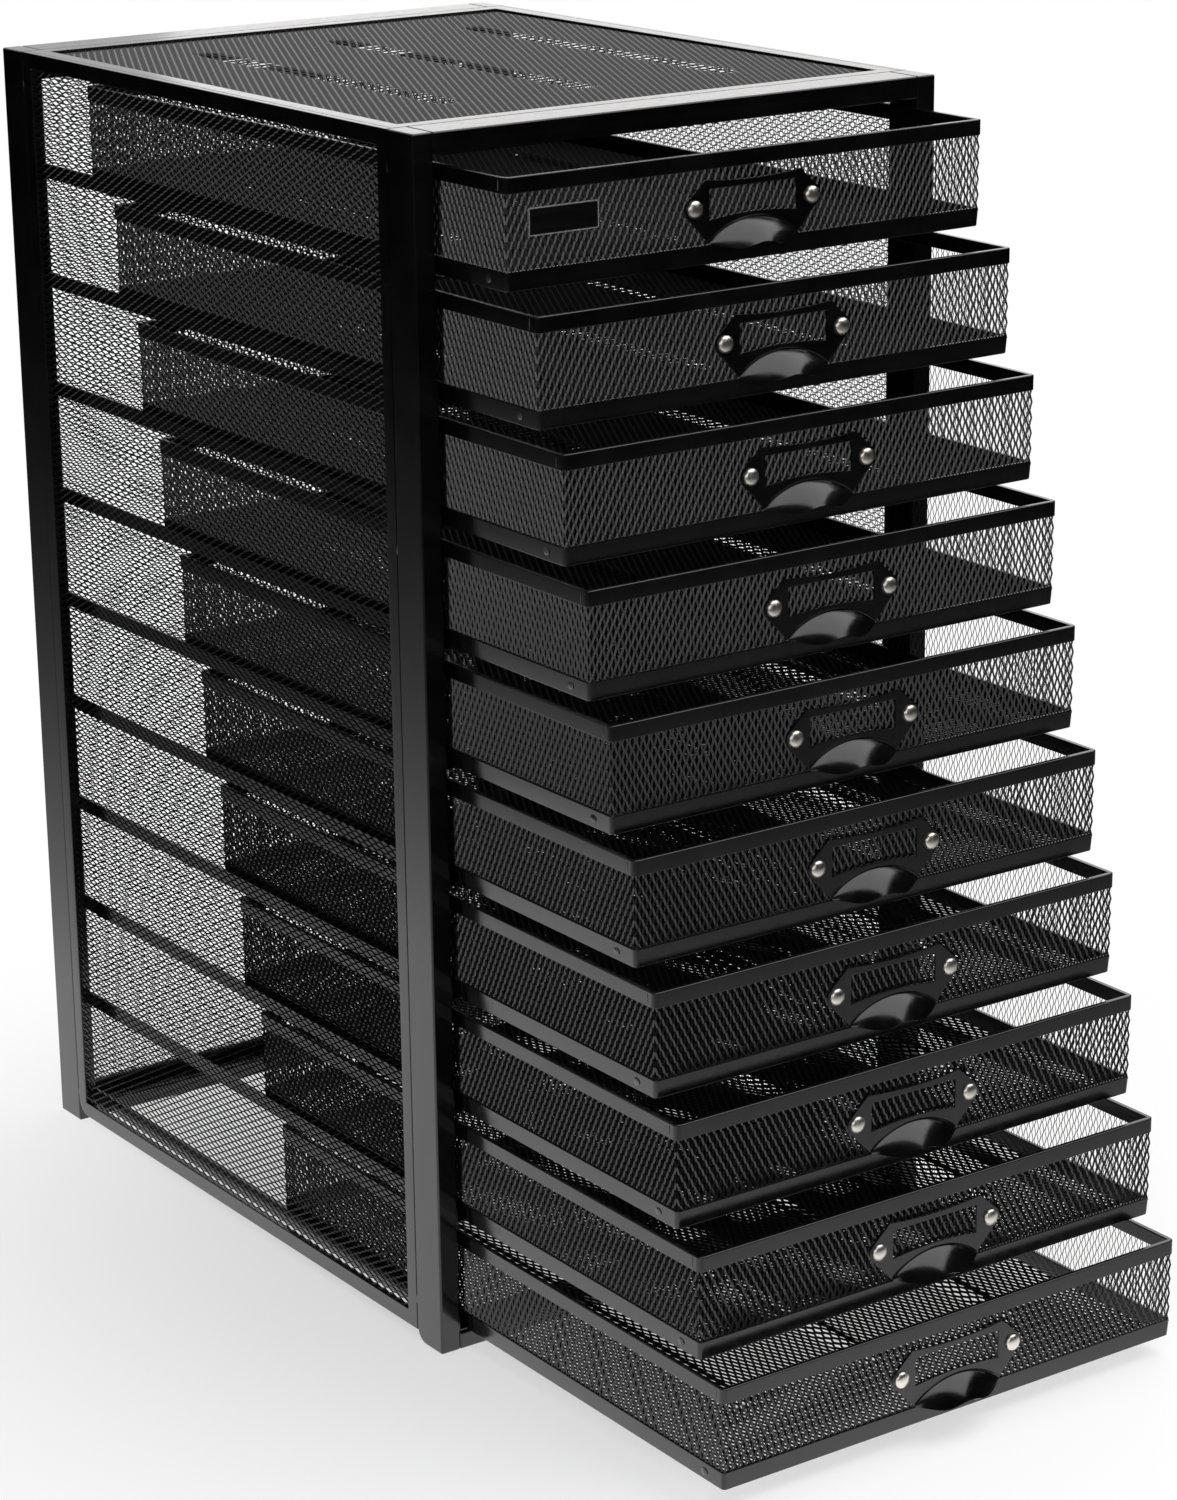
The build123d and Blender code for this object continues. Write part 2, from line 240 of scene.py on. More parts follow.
def noise(nodes, links, scale, detail=2.0, roughness=0.5, stretch=None):
    """Noise on the piece's own coordinates, in metres."""
    place = nodes.new("ShaderNodeTexCoord")
    texture = nodes.new("ShaderNodeTexNoise")
    texture.inputs["Scale"].default_value = scale
    texture.inputs["Detail"].default_value = detail
    texture.inputs["Roughness"].default_value = roughness
    source = place.outputs["Object"]
    if stretch:
        mapping = nodes.new("ShaderNodeMapping")
        mapping.inputs["Scale"].default_value = stretch
        links.new(source, mapping.inputs["Vector"])
        source = mapping.outputs["Vector"]
    links.new(source, texture.inputs["Vector"])
    return texture.outputs["Fac"]


def ramp(nodes, links, source, low, high):
    """Colour from low to high as the source goes from 0.35 to 0.65."""
    node = nodes.new("ShaderNodeValToRGB")
    stops = node.color_ramp.elements
    for stop, position, shade in zip(stops, (0.35, 0.65), (low, high)):
        stop.position = position
        stop.color = (*shade, 1)
    links.new(source, node.inputs["Fac"])
    return node.outputs["Color"]


def spread(nodes, links, source, low, high, start=0.3, end=0.7, smooth=False):
    """Number from low to high as the source goes from start to end."""
    node = nodes.new("ShaderNodeMapRange")
    if smooth:
        node.interpolation_type = "SMOOTHSTEP"
    limits = {"From Min": start, "From Max": end, "To Min": low, "To Max": high}
    for name, limit in limits.items():
        node.inputs[name].default_value = limit
    links.new(source, node.inputs["Value"])
    return node.outputs["Result"]


def bump(nodes, links, bsdf, source, strength, distance):
    """Relief of the surface."""
    node = nodes.new("ShaderNodeBump")
    node.inputs["Strength"].default_value = strength
    node.inputs["Distance"].default_value = distance
    links.new(source, node.inputs["Height"])
    links.new(node.outputs["Normal"], bsdf.inputs["Normal"])


def coated(name, low, high, roughness, index, peel, peel_depth):
    """Semi-gloss powder coat: faint cloudiness and a fine orange peel."""
    material, nodes, links, bsdf = shader(name)
    clouds = noise(nodes, links, 60.0, 4.0)
    links.new(ramp(nodes, links, clouds, low, high), bsdf.inputs["Base Color"])
    haze = noise(nodes, links, 220.0, 3.0)
    rough = spread(nodes, links, haze, roughness - 0.04, roughness + 0.04)
    links.new(rough, bsdf.inputs["Roughness"])
    bsdf.inputs["IOR"].default_value = index
    bump(nodes, links, bsdf, noise(nodes, links, peel), 0.5, peel_depth)
    return material


def once(make):
    """Makes a finish when it is first asked for, and gives the same one after that."""
    def give():
        kept = bpy.data.materials.get(make.__name__)
        return kept or make(make.__name__, bpy.context.scene.cabinet_finish)
    return give


@once
def powder_coat(name, finish):
    """Finish of the frames, borders, rims, bands, runners and pulls."""
    return coated(
        name, finish.coat, finish.coat_worn, finish.coat_roughness, finish.gloss, 1100.0, 0.000012,
    )


@once
def coated_mesh(name, finish):
    """Finish of the expanded mesh."""
    return coated(
        name, finish.mesh, finish.mesh_worn, finish.mesh_roughness, finish.gloss, 1500.0, 0.00002,
    )


@once
def dull_mesh(name, finish):
    """Finish of the drawers' floors: the same coat, rougher, with its reflection turned down as
    painted shade for floors that lie in shadow.
    """
    material = coated(name, finish.mesh, finish.mesh_worn, 0.5, finish.gloss, 1500.0, 0.00002)
    bsdf = material.node_tree.nodes["Principled BSDF"]
    bsdf.inputs["Specular IOR Level"].default_value = 0.15
    return material


@once
def weld_coat(name, finish):
    """Finish of weld beads: the same coat over a rough bead, patchily lighter as a painted
    highlight for the beads' light rims.
    """
    return coated(
        name, finish.coat, finish.weld, finish.coat_roughness, finish.gloss, 900.0, 0.00012,
    )


@once
def bright_nickel(name, finish):
    """Finish of the rivet heads: tumbled nickel with faint haze."""
    material, nodes, links, bsdf = shader(name)
    haze = noise(nodes, links, 700.0, 4.0)
    dark = [0.86 * part for part in finish.nickel]
    links.new(ramp(nodes, links, haze, dark, finish.nickel), bsdf.inputs["Base Color"])
    rough = finish.nickel_roughness
    links.new(spread(nodes, links, haze, rough - 0.05, rough + 0.1), bsdf.inputs["Roughness"])
    bsdf.inputs["Metallic"].default_value = 1.0
    bump(nodes, links, bsdf, noise(nodes, links, 1800.0, 3.0), 0.35, 0.00002)
    return material


@once
def satin_plate(name, finish):
    """Finish of the bare plate: satin black with a faint brushed grain."""
    material, nodes, links, bsdf = shader(name)
    grain = noise(nodes, links, 500.0, 4.0, 0.6, (0.08, 1.0, 1.0))
    light = [1.8 * part for part in finish.plate]
    links.new(ramp(nodes, links, grain, finish.plate, light), bsdf.inputs["Base Color"])
    links.new(spread(nodes, links, grain, 0.16, 0.24), bsdf.inputs["Roughness"])
    bsdf.inputs["IOR"].default_value = 1.5
    bump(nodes, links, bsdf, grain, 0.3, 0.00002)
    return material


@once
def plate_edge(name, finish):
    """Finish of the bare plate's rim and sides: light grey, a painted highlight for the thin light
    line round the plate.
    """
    material, nodes, links, bsdf = shader(name)
    patchy_painted_highlight = noise(nodes, links, 1500.0, 4.0, 0.6)
    dark, light = (0.1, 0.1, 0.1), (0.4, 0.4, 0.4)
    links.new(ramp(nodes, links, patchy_painted_highlight, dark, light), bsdf.inputs["Base Color"])
    links.new(spread(nodes, links, patchy_painted_highlight, 0.35, 0.5), bsdf.inputs["Roughness"])
    bsdf.inputs["Metallic"].default_value = 0.5
    bump(nodes, links, bsdf, patchy_painted_highlight, 0.3, 0.00002)
    return material


# ---------------------------------------------------------------- shapes

def as_mesh(bm, name):
    """Mesh of a bmesh, which is freed."""
    mesh = bpy.data.meshes.new(name)
    bm.to_mesh(mesh)
    bm.free()
    return mesh


def join(target, bm):
    """Adds one bmesh to another, and frees it."""
    carrier = as_mesh(bm, "carrier")
    target.from_mesh(carrier)
    bpy.data.meshes.remove(carrier)


def outward(bm):
    """Turns a bmesh's faces outwards."""
    bmesh.ops.recalc_face_normals(bm, faces=bm.faces[:])


def corners_of(geometry):
    """The vertices among what an operator gives back."""
    return [item for item in geometry if isinstance(item, bmesh.types.BMVert)]


def new_piece(name, bm, material, body, replaced=(), smooth=True):
    """Turns a bmesh into a piece that rides on a body and stands for CAD nodes."""
    mesh_piece(name, as_mesh(bm, name), material, body, replaced, smooth)


def mesh_piece(name, mesh, material, body, replaced=(), smooth=True):
    """Puts a finished mesh in the scene as a piece."""
    if smooth:
        mesh.shade_smooth()
        mesh.set_sharp_from_angle(angle=SHARP)
    if not mesh.materials:
        mesh.materials.append(material)
    piece = bpy.data.objects.new(name, mesh)
    bpy.context.scene.collection.objects.link(piece)
    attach(piece, body)
    if replaced:
        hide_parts(*replaced)
    if smooth:
        even = piece.modifiers.new("even_faces", "WEIGHTED_NORMAL")
        even.mode = "FACE_AREA"
        even.keep_sharp = True


def sharp_edges(bm, above=SHARP):
    """Edges where two faces meet at more than an angle."""
    return [
        edge for edge in bm.edges
        if len(edge.link_faces) == 2 and edge.calc_face_angle(0.0) > above
    ]


def round_edges(bm, edges, width, segments):
    """Rounds edges off."""
    bmesh.ops.bevel(
        bm, geom=edges, offset=width, offset_type="OFFSET", segments=segments,
        profile=0.5, affect="EDGES", clamp_overlap=True, material=-1,
    )


def block(bm, low, high):
    """Box between two corners."""
    low, high = Vector(low), Vector(high)
    place = Matrix.Translation((low + high) / 2) @ Matrix.Diagonal((*(high - low), 1.0))
    return bmesh.ops.create_cube(bm, size=1.0, matrix=place)["verts"]


def plane_matrix(origin, along, up):
    """Place of a flat outline: its x runs along, its y runs up and its z points out."""
    along, up = Vector(along), Vector(up)
    out = along.cross(up)
    turned = Matrix((along, up, out)).transposed().to_4x4()
    return Matrix.Translation(origin) @ turned


def band(bm, width, height, wall, depth):
    """Rectangular band round the middle of the local x-y plane, from z = 0 up to its depth."""
    grid = bmesh.ops.create_grid(bm, x_segments=1, y_segments=1, size=0.5)
    bmesh.ops.scale(bm, vec=(width, height, 1.0), verts=grid["verts"])
    middle = grid["verts"][0].link_faces[0]
    bmesh.ops.inset_region(
        bm, faces=[middle], thickness=wall, use_boundary=True, use_even_offset=True,
    )
    bmesh.ops.delete(bm, geom=[middle], context="FACES_ONLY")
    raised = bmesh.ops.extrude_face_region(bm, geom=bm.faces[:])["geom"]
    bmesh.ops.translate(bm, vec=(0, 0, depth), verts=corners_of(raised))
    outward(bm)


def upright_edges(bm, width, height):
    """Edges of a band that stand along z, on its outer corners."""
    found = []
    for edge in bm.edges:
        a, b = (vert.co for vert in edge.verts)
        if abs(a.x - b.x) > TINY or abs(a.y - b.y) > TINY:
            continue
        if abs(a.x) > width / 2 - TINY and abs(a.y) > height / 2 - TINY:
            found.append(edge)
    return found


def strand(bm, pitch, steps, long_step, rising, sheet, rise):
    """One zigzag strand: its three-sided section drawn along from corner to corner."""
    half = sheet.strand / 2
    section = [(-half, rise / 2), (half, -rise / 2), (-half * rise / FULL_RISE, -sheet.gauge)]
    start = half if rising else pitch - half
    swing = pitch - 2 * start
    verts = [bm.verts.new((0.0, start + across, out)) for across, out in section]
    edges = [bm.edges.new((verts[i], verts[(i + 1) % 3])) for i in range(3)]
    for step in range(steps):
        moved = bmesh.ops.extrude_edge_only(bm, edges=edges)["geom"]
        corners = corners_of(moved)
        edges = [
            item for item in moved
            if isinstance(item, bmesh.types.BMEdge) and all(vert in corners for vert in item.verts)
        ]
        across = swing if step % 2 == 0 else -swing
        bmesh.ops.translate(bm, vec=(long_step, across, 0.0), verts=corners)


def mesh_sheet(place, width, height, long_way, short_way, sheet, rise):
    """Expanded mesh at a place: strands run along its x, side by side up its y."""
    steps = max(2, round(width / (long_way / 2)))
    count = max(2, round(height / (short_way / 2)))
    pitch = height / count
    bm, second = bmesh.new(), bmesh.new()
    strand(bm, pitch, steps, width / steps, True, sheet, rise)
    strand(second, pitch, steps, width / steps, False, sheet, rise)
    bmesh.ops.translate(second, vec=(0, pitch, 0), verts=second.verts[:])
    join(bm, second)
    outward(bm)
    made = 2
    while made < count:
        more = min(made, count - made)
        geometry = [*bm.verts, *bm.edges, *bm.faces]
        if more < made:
            limit = more * pitch + 0.2 * sheet.strand
            faces = [face for face in bm.faces if all(v.co.y < limit for v in face.verts)]
            verts = {vert for face in faces for vert in face.verts}
            edges = {edge for face in faces for edge in face.edges}
            geometry = [*verts, *edges, *faces]
        copied = bmesh.ops.duplicate(bm, geom=geometry)["geom"]
        bmesh.ops.translate(bm, vec=(0, made * pitch, 0), verts=corners_of(copied))
        made += more
    bm.transform(place)
    return bm


def press_ribs(verts, start, end, depth, sheet):
    """Presses stiffening ribs into a level sheet, running from front to back."""
    half = sheet.rib_width / 2
    for vert in verts:
        along = max(0.0, min(1.0, (vert.co.y - start) / half, (end - vert.co.y) / half))
        for middle in RIBS:
            across = abs(vert.co.x - middle) / half
            if across < 1.0:
                vert.co.z += depth * along * (0.5 + 0.5 * cos(pi * across))


def copies(name, mesh, material, node, smooth=True, stands=True):
    """One copy of a mesh on each drawer, moved as its CAD node is, which it may stand for."""
    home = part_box(DRAWERS[0] + "_" + node)[0]
    for drawer in DRAWERS:
        copied = mesh.copy()
        copied.transform(Matrix.Translation(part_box(drawer + "_" + node)[0] - home))
        replaced = [drawer + "_" + node] if stands else []
        mesh_piece(drawer + "_" + name, copied, material, drawer, replaced, smooth)


def add_border(name, node, width, height, wall, depth, place, corner=0.0):
    """Border bar of a panel, with its lower back corner rounded where that is asked for."""
    bm = bmesh.new()
    band(bm, width, height, wall, depth)
    if corner:
        lower_back = [
            edge for edge in upright_edges(bm, width, height)
            if edge.verts[0].co.y < 0 < edge.verts[0].co.x
        ]
        round_edges(bm, lower_back, corner, 6)
    round_edges(bm, sharp_edges(bm), bpy.context.scene.cabinet_trim.border_edge, 2)
    bm.transform(place)
    new_piece(name, bm, powder_coat(), "cabinet", [node])


def sheet_piece(name, node, place, size, diamond, rise, ribs=None):
    """Expanded mesh of a panel, with sunk ribs between two places where they are given."""
    sheet = bpy.context.scene.cabinet_mesh
    bm = mesh_sheet(place, *size, *diamond, sheet, rise)
    if ribs:
        press_ribs(bm.verts, *ribs, -sheet.rib_depth, sheet)
    new_piece(name, bm, coated_mesh(), "cabinet", [node], False)


# ---------------------------------------------------------------- pieces

class CABINET_OT_frames(Operator):
    """Front and back frames of square tube, with softly rounded edges"""

    bl_idname = "cabinet.frames"
    bl_label = "Frames"

    def execute(self, context):
        trim = context.scene.cabinet_trim
        for node in ("front_frame", "back_frame"):
            low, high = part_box(node)
            post, rail, sill = TUBE
            bm = bmesh.new()
            for side in (-1, 1):
                left, right = sorted((side * high.x, side * (high.x - post)))
                verts = block(bm, (left, low.y, low.z), (right, high.y, high.z))
                if node == "front_frame":
                    foot = [
                        edge for edge in {e for v in verts for e in v.link_edges}
                        if all(v.co.z < low.z + TINY and v.co.y > high.y - TINY for v in edge.verts)
                    ]
                    round_edges(bm, foot, trim.foot_rounding, 6)
            span = high.x - post
            block(bm, (-span, low.y, high.z - rail), (span, high.y, high.z))
            block(bm, (-span, low.y, low.z), (span, high.y, low.z + sill))
            round_edges(bm, sharp_edges(bm), trim.tube_edge, 3)
            new_piece(node + "_tubes", bm, powder_coat(), "cabinet", [node])
        return {"FINISHED"}


class CABINET_OT_side_panels(Operator):
    """Side panels: a flat border bar with expanded mesh inside it"""

    bl_idname = "cabinet.side_panels"
    bl_label = "Side Panels"

    def execute(self, context):
        trim, sheet = context.scene.cabinet_trim, context.scene.cabinet_mesh
        for side, name in ((-1, "left_panel"), (1, "right_panel")):
            low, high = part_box(name + "_border")
            size, middle = high - low, (low + high) / 2
            add_border(
                name + "_bars", name + "_border", size.y, size.z, trim.side_border, size.x,
                plane_matrix((low.x, middle.y, middle.z), (0, 1, 0), UP), trim.panel_corner,
            )
            reach = trim.side_border - sheet.tuck
            start_y = low.y + reach if side > 0 else high.y - reach
            sheet_piece(
                name + "_sheet", name + "_mesh",
                plane_matrix((middle.x, start_y, low.z + reach), (0, side, 0), UP),
                (size.y - 2 * reach, size.z - 2 * reach), (sheet.side_long, sheet.side_short),
                sheet.side_rise,
            )
        return {"FINISHED"}


class CABINET_OT_top_panel(Operator):
    """Top panel: border bar and mesh"""

    bl_idname = "cabinet.top_panel"
    bl_label = "Top Panel"

    def execute(self, context):
        trim, sheet = context.scene.cabinet_trim, context.scene.cabinet_mesh
        low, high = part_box("top_panel")
        size, middle = high - low, (low + high) / 2
        add_border(
            "top_panel_bars", "top_panel", size.x, size.y, trim.top_border, size.z,
            Matrix.Translation((middle.x, middle.y, low.z)),
        )
        reach = trim.top_border - sheet.tuck
        sheet_piece(
            "top_panel_sheet", "top_panel",
            plane_matrix((high.x - reach, low.y + reach, middle.z), (0, 1, 0), (-1, 0, 0)),
            (size.y - 2 * reach, size.x - 2 * reach), (sheet.top_long, sheet.top_short),
            sheet.top_rise, (low.y + sheet.rib_end, high.y - sheet.rib_end),
        )
        return {"FINISHED"}


class CABINET_OT_back_panel(Operator):
    """Back panel: border bar and mesh, standing inside the back frame"""

    bl_idname = "cabinet.back_panel"
    bl_label = "Back Panel"

    def execute(self, context):
        trim, sheet = context.scene.cabinet_trim, context.scene.cabinet_mesh
        low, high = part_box("back_panel")
        size, middle = high - low, (low + high) / 2
        add_border(
            "back_panel_bars", "back_panel", size.x, size.z, trim.back_border, size.y,
            plane_matrix((middle.x, high.y, middle.z), (1, 0, 0), UP),
        )
        reach = trim.back_border - sheet.tuck
        sheet_piece(
            "back_panel_sheet", "back_panel",
            plane_matrix((low.x + reach, middle.y, high.z - reach), (1, 0, 0), (0, 0, -1)),
            (size.x - 2 * reach, size.z - 2 * reach), (sheet.side_long, sheet.side_short),
            -sheet.side_rise,
        )
        return {"FINISHED"}


class CABINET_OT_runners(Operator):
    """Runners: the CAD angles under the drawers, in the cabinet's black coat"""

    bl_idname = "cabinet.runners"
    bl_label = "Runners"

    def execute(self, context):
        for name in ("left_runners", "right_runners"):
            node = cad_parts[name]
            if not node.data.materials:
                node.data.materials.append(None)
            for place in node.material_slots:
                place.link = "OBJECT"
                place.material = powder_coat()
        return {"FINISHED"}


class CABINET_OT_baskets(Operator):
    """Mesh walls and floor of the drawers"""

    bl_idname = "cabinet.baskets"
    bl_label = "Drawer Baskets"

    def execute(self, context):
        sheet = context.scene.cabinet_mesh
        first = DRAWERS[0]
        low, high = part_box(first + "_basket")
        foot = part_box(first + "_base")[1].z - sheet.tuck
        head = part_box(first + "_rim")[0].z + sheet.tuck
        half, size, diamond = HALF_SHEET, high - low, (sheet.wall_long, sheet.wall_short)
        walls = (
            ((high.x, low.y + half), (-1, 0, 0), size.x, sheet.rise),
            ((low.x, high.y - half), (1, 0, 0), size.x, sheet.rise),
            ((low.x + half, low.y + 2 * half), (0, 1, 0), size.y - 4 * half, -sheet.rise),
            ((high.x - half, high.y - 2 * half), (0, -1, 0), size.y - 4 * half, sheet.rise),
        )
        bm = bmesh.new()
        for corner, along, span, rise in walls:
            place = plane_matrix((*corner, foot), UP, along)
            join(bm, mesh_sheet(place, head - foot, span, *diamond, sheet, rise))
        wall_faces, inset = len(bm.faces), sheet.floor_inset
        place = plane_matrix((high.x - inset, low.y + inset, low.z + half), (0, 1, 0), (-1, 0, 0))
        floor = (size.y - 2 * inset, size.x - 2 * inset)
        join(bm, mesh_sheet(place, *floor, *diamond, sheet, sheet.floor_rise))
        bm.faces.ensure_lookup_table()
        # the floors take the coat with its reflection turned down: painted shade
        for face in bm.faces[wall_faces:]:
            face.material_index = 1
        verts = {vert for face in bm.faces[wall_faces:] for vert in face.verts}
        start, end = low.y + sheet.rib_end, high.y - sheet.rib_end
        press_ribs(verts, start, end, sheet.rib_depth, sheet)
        mesh = as_mesh(bm, "basket")
        mesh.materials.append(coated_mesh())
        mesh.materials.append(dull_mesh())
        copies("mesh_basket", mesh, coated_mesh(), "basket", smooth=False)
        return {"FINISHED"}


class CABINET_OT_rims(Operator):
    """Rolled rim strips of the drawers"""

    bl_idname = "cabinet.rims"
    bl_label = "Drawer Rims"

    def execute(self, context):
        trim = context.scene.cabinet_trim
        low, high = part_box(DRAWERS[0] + "_rim")
        size, middle = high - low, (low + high) / 2
        bm = bmesh.new()
        band(bm, size.x, size.y, trim.rim_wall, size.z)
        round_edges(bm, upright_edges(bm, size.x, size.y), trim.rim_corner, 5)
        top = [e for e in sharp_edges(bm) if all(v.co.z > size.z - TINY for v in e.verts)]
        round_edges(bm, top, trim.rim_roll, 4)
        round_edges(bm, sharp_edges(bm, CORNER), trim.rim_edge, 2)
        bm.transform(Matrix.Translation((middle.x, middle.y, low.z)))
        copies("rolled_rim", as_mesh(bm, "rim"), powder_coat(), "rim")
        return {"FINISHED"}


class CABINET_OT_bases(Operator):
    """Base bands of the drawers"""

    bl_idname = "cabinet.bases"
    bl_label = "Drawer Base Bands"

    def execute(self, context):
        trim = context.scene.cabinet_trim
        low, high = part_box(DRAWERS[0] + "_base")
        size, middle = high - low, (low + high) / 2
        bm = bmesh.new()
        band(bm, size.x, size.y, trim.base_wall, size.z)
        round_edges(bm, upright_edges(bm, size.x, size.y), trim.base_corner, 4)
        round_edges(bm, sharp_edges(bm), trim.base_edge, 2)
        for vert in bm.verts:
            draw_in = trim.base_draft * (1 - vert.co.z / size.z)
            vert.co.x -= draw_in if vert.co.x > 0 else -draw_in
            vert.co.y -= draw_in if vert.co.y > 0 else -draw_in
        bm.transform(Matrix.Translation((middle.x, middle.y, low.z)))
        copies("base_band", as_mesh(bm, "base"), powder_coat(), "base")
        return {"FINISHED"}


def arc_points(start, middle, end, steps):
    """Points along the circle through three points of a plane, ends included."""
    (ax, ay), (bx, by), (cx, cy) = start, middle, end
    a, b, c = ax**2 + ay**2, bx**2 + by**2, cx**2 + cy**2
    twice = 2 * (ax * (by - cy) + bx * (cy - ay) + cx * (ay - by))
    centre = Vector((
        (a * (by - cy) + b * (cy - ay) + c * (ay - by)) / twice,
        (a * (cx - bx) + b * (ax - cx) + c * (bx - ax)) / twice,
    ))
    first, last = Vector(start) - centre, Vector(end) - centre
    turn = first.angle_signed(last)
    if first.angle_signed(Vector(middle) - centre) * turn < 0:
        turn -= 2 * pi if turn > 0 else -2 * pi
    turns = [-turn * step / steps for step in range(steps + 1)]
    return [tuple(centre + Matrix.Rotation(angle, 2) @ first) for angle in turns]


def cup_bow(pull):
    """The cup's bow, where it meets the plate."""
    tip = (pull.cup_half_width, pull.cup_tip - pull.height)
    return arc_points((-tip[0], tip[1]), (0.0, pull.cup_depth - pull.height), tip, 20)


def crease_line(pull):
    """Thin raised line along the cup's bow: a small circle spun round the bow's centre."""
    tip, crown = pull.cup_tip - pull.height, pull.cup_depth - pull.height
    middle = (crown**2 - tip**2 - pull.cup_half_width**2) / (2 * (crown - tip))
    radial = Vector((-pull.cup_half_width, tip - middle, 0.0)).normalized()
    start = plane_matrix((-pull.cup_half_width, tip, 0.9 * pull.thickness), radial, UP)
    bm = bmesh.new()
    circle = bmesh.ops.create_circle(bm, segments=8, radius=pull.crease, matrix=start)["verts"]
    ring = list({edge for vert in circle for edge in vert.link_edges})
    bmesh.ops.spin(
        bm, geom=circle + ring, cent=(0, middle, 0), axis=UP,
        angle=2 * atan2(radial.x, radial.y), steps=24,
    )
    bmesh.ops.holes_fill(bm, edges=[edge for edge in bm.edges if edge.is_boundary], sides=0)
    outward(bm)
    return bm


def plate_outline(pull):
    """Outline of the pull's plate, from the cup's left tip round by the top to its right tip."""
    ear_x, ear_y = pull.ear_spacing / 2, -pull.ear_drop
    reach, rise = pull.ear_radius * cos(radians(40)), pull.ear_radius * sin(radians(40))
    top = (pull.top_half_width, 0.0)
    ear = arc_points(
        (ear_x + reach, ear_y + rise), (ear_x + pull.ear_radius, ear_y),
        (ear_x + reach, ear_y - rise), 8,
    )
    right = [top, *ear, (pull.cup_half_width, -pull.height)]
    left = [(-x, y) for x, y in reversed(right)]
    dip = arc_points((-top[0], 0.0), (0.0, -pull.top_dip), top, 12)[1:-1]
    return left + dip + right


def window_outline(pull):
    """Outline of the label window, its lower edge arched over the cup."""
    half, bottom = pull.window_half_width, pull.cup_depth + pull.window_web - pull.height
    low = bottom - pull.window_arch
    arch = arc_points((half, low), (0.0, bottom), (-half, low), 12)
    return [(-half, -pull.window_top), (half, -pull.window_top), *arch]


def loop_edges(bm, points):
    """Closed loop of edges through points."""
    verts = [bm.verts.new((x, y, 0.0)) for x, y in points]
    return [bm.edges.new((verts[i], verts[(i + 1) % len(verts)])) for i in range(len(verts))]


class CABINET_OT_pulls(Operator):
    """Label plate and finger cup of each drawer, as one pressing"""

    bl_idname = "cabinet.pulls"
    bl_label = "Drawer Pulls"

    def execute(self, context):
        pull = context.scene.cabinet_pull
        low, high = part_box(DRAWERS[0] + "_pull")
        bow = cup_bow(pull)
        bm = bmesh.new()
        outer = loop_edges(bm, plate_outline(pull) + bow[::-1])
        inner = loop_edges(bm, window_outline(pull))
        bmesh.ops.triangle_fill(
            bm, edges=outer + inner, use_beauty=True, use_dissolve=True, normal=UP,
        )
        raised = bmesh.ops.extrude_face_region(bm, geom=bm.faces[:])["geom"]
        bmesh.ops.translate(bm, vec=(0, 0, pull.thickness), verts=corners_of(raised))
        outward(bm)
        round_edges(bm, sharp_edges(bm, CORNER), pull.plate_rounding, 2)

        cup = bmesh.new()
        verts = [cup.verts.new((x, y, 0.0)) for x, y in bow]
        edges = [cup.edges.new(pair) for pair in zip(verts, verts[1:])]
        bmesh.ops.spin(
            cup, geom=verts + edges, cent=(0, -pull.height, 0), axis=(1, 0, 0), angle=pi / 2,
            steps=12,
        )
        bulge, flare = pull.cup_bulge, 1 - pull.cup_bulge
        for vert in cup.verts:
            up, out = vert.co.y + pull.height, vert.co.z
            radius, turn = hypot(up, out), atan2(out, up) / (pi / 2)
            wave = sin(pi * min(1.0, abs(vert.co.x) / pull.cup_half_width)) ** 2
            vert.co.y = radius * (1 - turn) * flare + up * bulge - pull.height
            vert.co.y -= pull.cup_wave * wave * turn**2
            vert.co.z = radius * turn * flare + out * bulge
        outward(cup)
        if sum(face.normal.y + face.normal.z for face in cup.faces) < 0:
            bmesh.ops.reverse_faces(cup, faces=cup.faces[:])
        bmesh.ops.solidify(cup, geom=cup.faces[:], thickness=pull.cup_wall)
        bmesh.ops.translate(cup, vec=(0, 0, pull.thickness / 2), verts=cup.verts[:])
        join(bm, cup)
        join(bm, crease_line(pull))
        bm.transform(plane_matrix((0, high.y, low.z + pull.height), (1, 0, 0), UP))
        copies("pull_pressing", as_mesh(bm, "pull"), powder_coat(), "pull")
        return {"FINISHED"}


class CABINET_OT_rivets(Operator):
    """Domed nickel rivets in the ears of the pulls"""

    bl_idname = "cabinet.rivets"
    bl_label = "Rivets"

    def execute(self, context):
        pull = context.scene.cabinet_pull
        low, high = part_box(DRAWERS[0] + "_rivets")
        face_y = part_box(DRAWERS[0] + "_pull")[1].y - pull.thickness
        radius, height, brim = pull.rivet_radius, pull.rivet_height, 0.18
        profile = [(0.97 * radius, 0.0)]
        for step in range(9):
            angle = pi / 2 * step / 8
            profile.append((radius * cos(angle), height * (brim + (1 - brim) * sin(angle))))
        bm = bmesh.new()
        for side in (-1, 1):
            head = bmesh.new()
            verts = [head.verts.new((r, 0.0, z)) for r, z in profile]
            edges = [head.edges.new(pair) for pair in zip(verts, verts[1:])]
            bmesh.ops.spin(
                head, geom=verts + edges, cent=(0, 0, 0), axis=UP, angle=2 * pi, steps=28,
                use_merge=True,
            )
            place = (side * pull.ear_spacing / 2, face_y, (low.z + high.z) / 2)
            head.transform(plane_matrix(place, (1, 0, 0), UP))
            join(bm, head)
        bmesh.ops.remove_doubles(bm, verts=bm.verts[:], dist=TINY)
        outward(bm)
        copies("rivet_heads", as_mesh(bm, "rivets"), bright_nickel(), "rivets")
        return {"FINISHED"}


